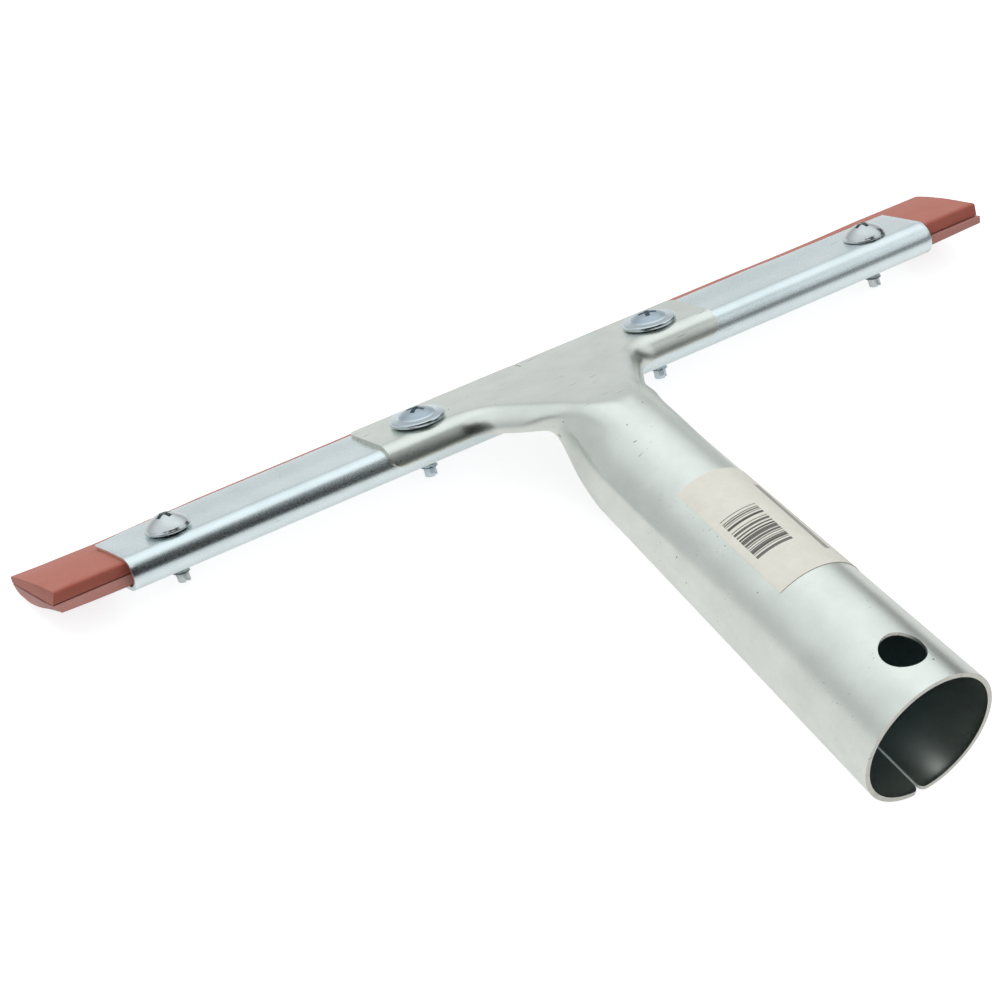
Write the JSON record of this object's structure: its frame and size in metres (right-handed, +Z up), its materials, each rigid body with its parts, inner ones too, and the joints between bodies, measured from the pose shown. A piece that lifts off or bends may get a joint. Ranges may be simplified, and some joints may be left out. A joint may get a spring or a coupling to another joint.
{
  "type": "window squeegee head",
  "caption": "Steel window squeegee head: folded channel clamping two red-brown rubber strips, screwed to a pressed tee with a rolled, tapered handle socket.",
  "frame": {"origin": "centre of the bounding box's footprint, on the table that the head lies on", "axes": "+X along the blade, +Y from the handle socket to the rubber lip, +Z up as it lies on the socket's mouth and the lip"},
  "size_m": [0.2356, 0.142, 0.0302],
  "materials": {
    "bracket_zinc": "bright zinc-plated sheet steel, lightly scuffed",
    "channel_zinc": "bright zinc-plated sheet steel with a bluish cast",
    "screw_zinc": "bright zinc-plated steel screws",
    "red_rubber": "matt red-brown natural rubber",
    "label_paper": null
  },
  "bodies": {
    "head": {"handle_socket_bracket": "bracket_zinc", "blade_channel": "channel_zinc", "upper_rubber_strip": "red_rubber", "lower_rubber_strip": "red_rubber", "paper_label": "label_paper"},
    "inner_screw_left_body": {"inner_screw_left": "screw_zinc"},
    "inner_screw_right_body": {"inner_screw_right": "screw_zinc"},
    "outer_screw_left_body": {"outer_screw_left": "screw_zinc"},
    "outer_screw_right_body": {"outer_screw_right": "screw_zinc"}
  },
  "joints": [
    {"name": "inner_screw_left_turn", "type": "hinge", "parent": "head", "child": "inner_screw_left_body", "pos_m": [-0.0297, 0.05731, 0.01324], "axis": [0, 0.4272, 0.9042], "continuous": true},
    {"name": "inner_screw_right_turn", "type": "hinge", "parent": "head", "child": "inner_screw_right_body", "pos_m": [0.0297, 0.05731, 0.01324], "axis": [0, 0.4272, 0.9042], "continuous": true},
    {"name": "outer_screw_left_turn", "type": "hinge", "parent": "head", "child": "outer_screw_left_body", "pos_m": [-0.08915, 0.05697, 0.01252], "axis": [0, 0.4272, 0.9042], "continuous": true},
    {"name": "outer_screw_right_turn", "type": "hinge", "parent": "head", "child": "outer_screw_right_body", "pos_m": [0.08915, 0.05697, 0.01252], "axis": [0, 0.4272, 0.9042], "continuous": true}
  ]
}
